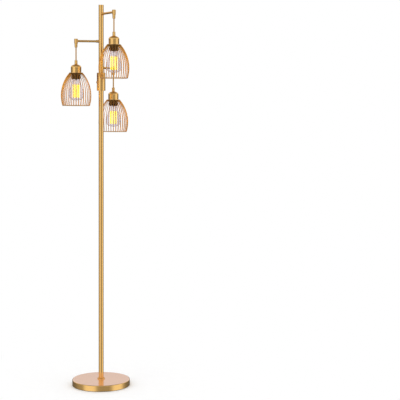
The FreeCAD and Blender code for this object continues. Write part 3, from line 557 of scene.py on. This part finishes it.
def tube(name, points, radius, sides=10):
    """A round wire through points, closed at both ends."""
    curve = bpy.data.curves.new(name, "CURVE")
    curve.dimensions = "3D"
    spline = curve.splines.new("POLY")
    spline.points.add(len(points) - 1)
    for point, place in zip(spline.points, points):
        point.co = (*place, 1)
    curve.bevel_depth = radius
    curve.bevel_resolution = max(0, sides // 4 - 1)
    curve.use_fill_caps = True
    piece = bpy.data.objects.new(name, curve)
    bpy.context.scene.collection.objects.link(piece)
    mesh = bpy.data.meshes.new_from_object(piece.evaluated_get(bpy.context.evaluated_depsgraph_get()))
    bpy.data.objects.remove(piece)
    mesh.shade_smooth()
    return mesh


def merged(name, meshes):
    """One mesh object from several meshes."""
    together = bmesh.new()
    for mesh in meshes:
        together.from_mesh(mesh)
        bpy.data.meshes.remove(mesh)
    data = bpy.data.meshes.new(name)
    together.to_mesh(data)
    together.free()
    return smoothed(name, data, 40)


def finish_piece(piece, material, body, slot, *replaced):
    piece.data.materials.clear()
    piece.data.materials.append(material)
    for polygon in getattr(piece.data, "polygons", ()):
        polygon.material_index = 0
    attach(piece, body)
    if replaced:
        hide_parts(*replaced)


# Geometry nodes ---------------------------------------------------------------------------------


FLOAT, WHOLE, POINT = "NodeSocketFloat", "NodeSocketInt", "NodeSocketVector"


def grown(name, tree, values):
    """A plain mesh object made by a tree from its named inputs."""
    piece = mesh_object(name, bpy.data.meshes.new(name))
    modifier = piece.modifiers.new("Shape", "NODES")
    modifier.node_group = tree
    sockets = {item.name: item.identifier for item in tree.interface.items_tree if item.in_out == "INPUT"}
    for label, value in values.items():
        modifier[sockets[label]] = value
    mesh = bpy.data.meshes.new_from_object(piece.evaluated_get(bpy.context.evaluated_depsgraph_get()))
    mesh.name = name
    piece.modifiers.clear()
    empty = piece.data
    piece.data = mesh
    bpy.data.meshes.remove(empty)
    return piece


def cage_tree(material):
    """Bent wires round an axis: each is one arc, from the neck over the waist to the mouth."""
    sizes = ("Wire Radius", "Bend Radius", "Bend Axis", "First Angle", "Sweep", "Waist")
    tree = Tree("cage_wires", {"Wires": WHOLE, **dict.fromkeys(sizes, FLOAT), "Axis": POINT})
    given = tree.given
    inputs = {
        "Resolution": 36,
        "Radius": given["Bend Radius"],
        "Start Angle": given["First Angle"],
        "Sweep Angle": given["Sweep"],
    }
    bend = tree.node("GeometryNodeCurveArc", inputs, mode="RADIUS").outputs["Curve"]
    wire = tree.swept(bend, 10, given["Wire Radius"])
    upright = tree.moved(wire, tree.vector(x=given["Bend Axis"], z=given["Waist"]), (math.pi / 2, 0, 0))
    cage = tree.moved(tree.round_the_axis(upright, given["Wires"]), given["Axis"])
    return tree.finish(cage, material)


def beads_tree(material):
    """Weld beads in a ring round an axis."""
    sizes = ("Bead Radius", "Ring Radius", "Height")
    tree = Tree("weld_beads", {"Beads": WHOLE, **dict.fromkeys(sizes, FLOAT), "Axis": POINT})
    given = tree.given
    inputs = {"Radius": given["Bead Radius"], "Subdivisions": 2}
    ball = tree.node("GeometryNodeMeshIcoSphere", inputs).outputs["Mesh"]
    bead = tree.moved(ball, tree.vector(x=given["Ring Radius"], z=given["Height"]))
    ring = tree.round_the_axis(bead, given["Beads"])
    return tree.finish(tree.moved(ring, given["Axis"]), material)


def filament_tree(material):
    """Upright filaments in a ring round an axis."""
    sizes = ("Radius", "Length", "Ring Radius", "Foot", "Phase")
    tree = Tree("filaments", {"Filaments": WHOLE, **dict.fromkeys(sizes, FLOAT), "Axis": POINT})
    given = tree.given
    inputs = {"Start": (0, 0, 0), "End": tree.vector(z=given["Length"])}
    line = tree.node("GeometryNodeCurvePrimitiveLine", inputs).outputs[0]
    stick = tree.swept(line, 12, given["Radius"])
    placed = tree.moved(stick, tree.vector(x=given["Ring Radius"], z=given["Foot"]))
    ring = tree.round_the_axis(placed, given["Filaments"], given["Phase"])
    return tree.finish(tree.moved(ring, given["Axis"]), material)


# Operators --------------------------------------------------------------------------------------


class LAMP_OT_cords(bpy.types.Operator):
    """Hang the textile covered cords between the clamps and the grips"""

    bl_idname = "lamp.cords"
    bl_label = "Cords"

    def execute(self, context):
        cord = context.scene.lamp_cord
        for pendant in PENDANTS:
            self.hang(pendant, cord)
        return {"FINISHED"}

    def hang(self, pendant, cord):
        axis = axis_of(pendant)
        high = top(f"{pendant}_cord") - cord.diameter / 2
        low = foot(f"{pendant}_cord") + cord.diameter / 2
        heights = (high, high - (high - low) / 3, low + (high - low) / 3, low)
        route = [(axis.x, axis.y, height) for height in heights]
        curve = bpy.data.curves.new(f"{pendant}_textile_cord", "CURVE")
        curve.dimensions = "3D"
        spline = curve.splines.new("NURBS")
        spline.points.add(len(route) - 1)
        for point, place in zip(spline.points, route):
            point.co = (*place, 1)
        spline.order_u = 3
        spline.use_endpoint_u = True
        curve.bevel_depth = cord.diameter / 2
        curve.bevel_resolution = 6
        curve.use_fill_caps = True
        piece = bpy.data.objects.new(curve.name, curve)
        bpy.context.scene.collection.objects.link(piece)
        curve.materials.append(braided(pendant, cord))
        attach(piece, f"{pendant}_cord")
        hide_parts(f"{pendant}_cord")


class LAMP_OT_cages(bpy.types.Operator):
    """Bend the wires of the cages and weld them to the plate and the mouth ring"""

    bl_idname = "lamp.cages"
    bl_label = "Cages"

    def execute(self, context):
        cage = context.scene.lamp_cage
        metal = context.scene.lamp_metal
        brass = plated("cage_brass", cage.colour, metal.roughness, metal.grain, EVEN)
        wires = cage_tree(brass)
        beads = beads_tree(brass)
        for pendant in PENDANTS:
            self.bend(pendant, cage, wires, beads, brass)
        return {"FINISHED"}

    def bend(self, pendant, cage, wires, beads, brass):
        plate_foot = top(f"{pendant}_cage_rings") - cage.plate
        ring_height = foot(f"{pendant}_cage_rings") + cage.ring_wire / 2
        neck = top(f"{pendant}_cage_wires")
        waist = plate_foot - cage.waist_drop
        wire_radius = cage.wire / 2
        rise = cage.radius - PLATE_RADIUS - WIRE_OVERHANG
        bend_radius = (cage.waist_drop**2 + rise**2) / (2 * rise) - wire_radius
        bend_axis = cage.radius - wire_radius - bend_radius
        first = -math.asin((waist - ring_height) / bend_radius)
        last = math.asin((neck - waist) / bend_radius)
        body = f"{pendant}_pendant"
        axis = axis_of(pendant)
        piece = grown(
            f"{pendant}_bent_wires",
            wires,
            {
                "Wires": cage.count,
                "Wire Radius": wire_radius,
                "Bend Radius": bend_radius,
                "Bend Axis": bend_axis,
                "First Angle": first,
                "Sweep": last - first,
                "Waist": waist,
                "Axis": axis,
            },
        )
        finish_piece(piece, brass, body, "cage_brass", f"{pendant}_cage_wires")
        mouth = bend_axis + bend_radius * math.cos(first)
        welds = grown(
            f"{pendant}_mouth_welds",
            beads,
            {
                "Beads": cage.count,
                "Bead Radius": cage.weld,
                "Ring Radius": mouth,
                "Height": ring_height + cage.ring_wire / 3,
                "Axis": axis,
            },
        )
        finish_piece(welds, brass, body, "cage_brass")


class LAMP_OT_bulbs(bpy.types.Operator):
    """Blow the clear bulbs and set their stems and filaments"""

    bl_idname = "lamp.bulbs"
    bl_label = "Bulbs"

    def execute(self, context):
        bulb = context.scene.lamp_bulb
        glass = clear_glass()
        filament = lit_filament(bulb)
        wire = plated("spider_wire", (0.75, 0.72, 0.66), 0.3, 0.02)
        sticks = filament_tree(filament)
        for pendant in PENDANTS:
            self.blow(pendant, bulb, glass)
            self.stem(pendant, glass)
            self.light(pendant, bulb, sticks, filament)
            self.spider(pendant, bulb, wire)
        return {"FINISHED"}

    def outline(self, pendant, inset):
        """The glass from its neck to its tip, inset from the outer face."""
        tip = foot(f"{pendant}_bulb_glass")
        neck_end = top(f"{pendant}_bulb_glass")
        neck, shoulder, flank, rise = 13.2 * MM, 18 * MM, 100 * MM, 20.8 * MM
        lean = math.radians(17)
        waist = tip + rise
        side = BULB_RADIUS - shoulder
        crown = (side**2 + rise**2 - shoulder**2) / (2 * (rise - shoulder))
        crown_centre = tip + crown
        meet = math.atan2(waist - crown_centre, side)
        cone_foot = waist + (flank - inset) * math.sin(lean)
        cone_radius = BULB_RADIUS - flank + (flank - inset) * math.cos(lean)
        neck_radius = neck - inset
        cone_top = cone_foot + (cone_radius - neck_radius) / math.tan(lean)
        throat = 30 * MM
        turn = throat * math.tan(lean / 2)
        points = [(neck_radius, neck_end)]
        points += arc((neck_radius + throat, cone_top + turn), throat, math.pi, math.pi + lean, 6)
        points += arc((BULB_RADIUS - flank, waist), flank - inset, lean, 0, 16)
        points += arc((side, waist), shoulder - inset, 0, meet, 18)[1:]
        points += arc((0, crown_centre), crown - inset, meet, -math.pi / 2, 14)[1:-2]
        end = tip + inset
        nipple = 1.32 * MM
        points += [(3.4 * MM, end + 0.1 * MM), (1.7 * MM, end - 0.35 * nipple)]
        points += [(1.0 * MM, end - nipple), (0, end - 1.15 * nipple)]
        return points

    def blow(self, pendant, bulb, glass):
        outer = self.outline(pendant, 0)
        inner = self.outline(pendant, bulb.wall)
        piece = lathe(f"{pendant}_blown_glass", outer + inner[::-1], axis_of(pendant), 72)
        finish_piece(piece, glass, f"{pendant}_pendant", "clear_glass", f"{pendant}_bulb_glass")

    def stem(self, pendant, glass):
        high = top(f"{pendant}_bulb_filaments")
        profile = [(radius * MM, high - depth * MM) for radius, depth in STEM_PROFILE]
        piece = lathe(f"{pendant}_glass_stem", profile, axis_of(pendant), 40, closed=False)
        finish_piece(piece, glass, f"{pendant}_pendant", "filament")

    def ends(self, pendant):
        """Heights of the filaments' upper and lower ends."""
        node = f"{pendant}_bulb_filaments"
        return top(node) - FILAMENT_DEPTH, foot(node) + FILAMENT_RISE

    def light(self, pendant, bulb, sticks, filament):
        high, low = self.ends(pendant)
        piece = grown(
            f"{pendant}_lit_filaments",
            sticks,
            {
                "Filaments": bulb.count,
                "Radius": bulb.filament / 2,
                "Length": high - low,
                "Ring Radius": bulb.ring,
                "Foot": low,
                "Phase": math.pi / bulb.count,
                "Axis": axis_of(pendant),
            },
        )
        finish_piece(piece, filament, f"{pendant}_pendant", "filament", f"{pendant}_bulb_filaments")

    def spider(self, pendant, bulb, wire):
        """The wires that hold the filaments at both ends, and the post between them."""
        axis = axis_of(pendant)
        high, low = self.ends(pendant)
        post, spoke, knee_share = 0.5 * MM, 0.35 * MM, 0.82
        stem_end = top(f"{pendant}_bulb_filaments") - STEM_DEPTH
        meshes = [tube("post", [(axis.x, axis.y, stem_end), (axis.x, axis.y, low - MM)], post)]
        for number in range(bulb.count):
            angle = math.tau * (number + 0.5) / bulb.count
            rim = Vector((math.cos(angle), math.sin(angle), 0)) * bulb.ring
            for level, lift in ((high, 2.2 * MM), (low, -1.8 * MM)):
                hub = axis + Vector((0, 0, level + lift * 1.6))
                knee = axis + rim * knee_share + Vector((0, 0, level + lift))
                end = axis + rim + Vector((0, 0, level))
                meshes.append(tube("spoke", [hub, knee, end], spoke, 8))
        piece = merged(f"{pendant}_spider_wires", meshes)
        finish_piece(piece, wire, f"{pendant}_pendant", "filament")


class LAMP_OT_metalwork(bpy.types.Operator):
    """Finish the pole, the base, the arms and every other piece that keeps its own shape"""

    bl_idname = "lamp.metalwork"
    bl_label = "Metalwork"

    def execute(self, context):
        # The cages' plates and mouth rings, slot cage_brass, keep the frame's own plain brass.
        metal = context.scene.lamp_metal
        finishes = {
            "satin_brass": plated("satin_brass", metal.colour, metal.roughness, metal.grain),
            "base_brass": spun_brass(metal),
            "socket_black": moulded("socket_black", (0.003, 0.003, 0.004), 0.5, sheen=0.15),
            "contact_brass": plated("contact_brass", (0.82, 0.6, 0.28), 0.3, 0.05),
            "cap_metal": plated("cap_metal", (0.8, 0.79, 0.77), 0.25, 0.05),
            "black_plastic": moulded("black_plastic", (0.02, 0.02, 0.02), 0.5),
            "splice_plastic": moulded("splice_plastic", (0.7, 0.3, 0.05), 0.35),
            "lead_jacket": moulded("lead_jacket", (0.06, 0.06, 0.06), 0.55),
            "cast_iron": rough_iron(),
            "pad_foam": moulded("pad_foam", (0.05, 0.05, 0.05), 0.9, 900.0, 0.2),
            "zinc_steel": plated("zinc_steel", (0.62, 0.61, 0.58), 0.35, 0.1),
        }
        slots = {item["node"]: item["material_slot"] for item in frame["record"]["subparts"]}
        for name, node in NODES.items():
            finish = finishes.get(slots[name])
            if finish:
                node.data.materials.clear()
                node.data.materials.append(finish)
        return {"FINISHED"}


class LAMP_OT_stage(bpy.types.Operator):
    """Set the floor, the camera, the lamps and the studio's walls"""

    bl_idname = "lamp.stage"
    bl_label = "Stage"

    def execute(self, context):
        stage = context.scene.lamp_stage
        self.floor()
        self.camera(context.scene, stage)
        self.world(context.scene, stage)
        for lamp in LAMPS:
            self.lamp(*lamp)
        context.scene.view_settings.view_transform = "Standard"
        return {"FINISHED"}

    def floor(self):
        """A pale floor that keeps the lamp's shadow and turns plain white away from the base."""
        mesh = bmesh.new()
        bmesh.ops.create_circle(mesh, cap_ends=True, segments=96, radius=40)
        data = bpy.data.meshes.new("floor")
        mesh.to_mesh(data)
        mesh.free()
        floor = mesh_object("floor", data)
        shader = Shader("pale_floor", roughness=0.9)
        shader.set("Specular IOR Level", 0.0)
        where = shader.place()
        dust = shader.noise(where, 25.0, 3.0)
        shader.set("Base Color", shader.mix(dust, rgba((0.93,) * 3), rgba((0.96,) * 3)))
        white = shader.node("ShaderNodeEmission", {"Color": WHITE, "Strength": 1.0}).outputs[0]
        path = shader.node("ShaderNodeLightPath").outputs
        seen = shader.maths("MAXIMUM", path["Is Camera Ray"], path["Is Transmission Ray"])
        away = shader.span(shader.radius(where), 0.22, 0.75, smooth=True)
        inputs = {0: shader.maths("MULTIPLY", seen, away), 1: shader.principled.outputs[0], 2: white}
        blend = shader.node("ShaderNodeMixShader", inputs).outputs[0]
        shader.feed(shader.output.inputs["Surface"], blend)
        data.materials.append(shader.material)
        floor.visible_glossy = False

    def camera(self, scene, stage):
        data = bpy.data.cameras.new("camera")
        data.lens = stage.lens
        data.sensor_width = 36
        camera = bpy.data.objects.new("camera", data)
        scene.collection.objects.link(camera)
        turn = Matrix.Rotation(-stage.yaw, 4, "Z") @ Matrix.Rotation(math.pi / 2 - stage.pitch, 4, "X")
        turn = turn @ Matrix.Rotation(stage.roll, 4, "Z")
        camera.matrix_world = Matrix.Translation((0, -stage.distance, stage.height)) @ turn
        scene.camera = camera

    def lamp(self, name, place, size, watts):
        data = bpy.data.lights.new(name, "AREA")
        data.shape = "DISK"
        data.size = size
        data.energy = watts
        lamp = bpy.data.objects.new(name, data)
        bpy.context.scene.collection.objects.link(lamp)
        lamp.location = place
        aim = Vector(LAMP_AIM) - Vector(place)
        lamp.rotation_euler = aim.to_track_quat("-Z", "Y").to_euler()
        lamp.visible_glossy = False

    def world(self, scene, stage):
        """White behind the lamp, plain light on matt surfaces, and a studio that metal reflects."""
        scene.world = bpy.data.worlds.new("studio")
        scene.world.use_nodes = True
        sky = Shading(scene.world.node_tree)
        path = sky.node("ShaderNodeLightPath").outputs
        plain = sky.mix(path["Is Diffuse Ray"], WHITE, rgba(WHITE[:3], stage.ambient))
        metal = sky.mix(path["Is Glossy Ray"], plain, self.studio(sky, stage))
        shown = sky.mix(path["Is Transmission Ray"], metal, WHITE)
        sky.feed(sky.tree.nodes["Background"].inputs["Color"], shown)

    def studio(self, sky, stage):
        """Two softboxes between dim walls, a bright band above them and a darker ceiling."""
        x, y, z = sky.parts(sky.node("ShaderNodeTexCoord").outputs["Generated"])
        heading = sky.maths("ARCTAN2", x, sky.maths("MULTIPLY", y, -1.0))
        near, far = map(math.radians, BACK_HEADINGS)
        walls = sky.span(
            sky.maths("ABSOLUTE", heading), near, far, stage.dusk, stage.dusk * BACK_SHARE, smooth=True
        )
        for centre, reach, edge, strength in SOFTBOXES:
            away = sky.maths("ABSOLUTE", sky.maths("SUBTRACT", heading, math.radians(centre)))
            near, far = math.radians(reach - edge), math.radians(reach + edge)
            walls = sky.maths("ADD", walls, sky.span(away, near, far, strength, 0.0, smooth=True))
        walls = sky.maths("MULTIPLY", walls, sky.span(z, *GROUND_HEIGHTS, stage.ground, 1.0, smooth=True))
        ceiling = sky.span(z, *CEILING_HEIGHTS, BAND_BRIGHTNESS, stage.overhead, smooth=True)
        above = sky.span(z, *BAND_HEIGHTS, smooth=True)
        below = sky.maths("SUBTRACT", 1.0, above)
        parts = sky.maths("MULTIPLY", walls, below), sky.maths("MULTIPLY", above, ceiling)
        glow = sky.maths("ADD", *parts)
        return sky.node("ShaderNodeCombineColor", {"Red": glow, "Green": glow, "Blue": glow}).outputs[0]


class LAMP_PT_panel(bpy.types.Panel):
    """The lamp's pieces, in the order in which they are made"""

    bl_label = "Floor Lamp"
    bl_space_type = "VIEW_3D"
    bl_region_type = "UI"
    bl_category = "Floor Lamp"

    def draw(self, context):
        for operator in OPERATORS:
            self.layout.operator(operator.bl_idname)
        for name in SETTINGS:
            settings = getattr(context.scene, name)
            box = self.layout.box()
            box.label(text=name.replace("_", " ").capitalize())
            for word in settings.__annotations__:
                box.prop(settings, word)


SETTINGS = {
    "lamp_cord": CordSettings,
    "lamp_cage": CageSettings,
    "lamp_bulb": BulbSettings,
    "lamp_metal": MetalSettings,
    "lamp_stage": StageSettings,
}
OPERATORS = (LAMP_OT_cords, LAMP_OT_cages, LAMP_OT_bulbs, LAMP_OT_metalwork, LAMP_OT_stage)


def register():
    for group in SETTINGS.values():
        bpy.utils.register_class(group)
    for item in (*OPERATORS, LAMP_PT_panel):
        bpy.utils.register_class(item)
    for name, group in SETTINGS.items():
        setattr(bpy.types.Scene, name, PointerProperty(type=group))


def unregister():
    for name in SETTINGS:
        delattr(bpy.types.Scene, name)
    for item in (LAMP_PT_panel, *reversed(OPERATORS)):
        bpy.utils.unregister_class(item)
    for group in reversed(SETTINGS.values()):
        bpy.utils.unregister_class(group)


def main():
    register()
    bpy.ops.lamp.cords()
    bpy.ops.lamp.cages()
    bpy.ops.lamp.bulbs()
    bpy.ops.lamp.metalwork()
    bpy.ops.lamp.stage()


if __name__ == "__main__":
    main()
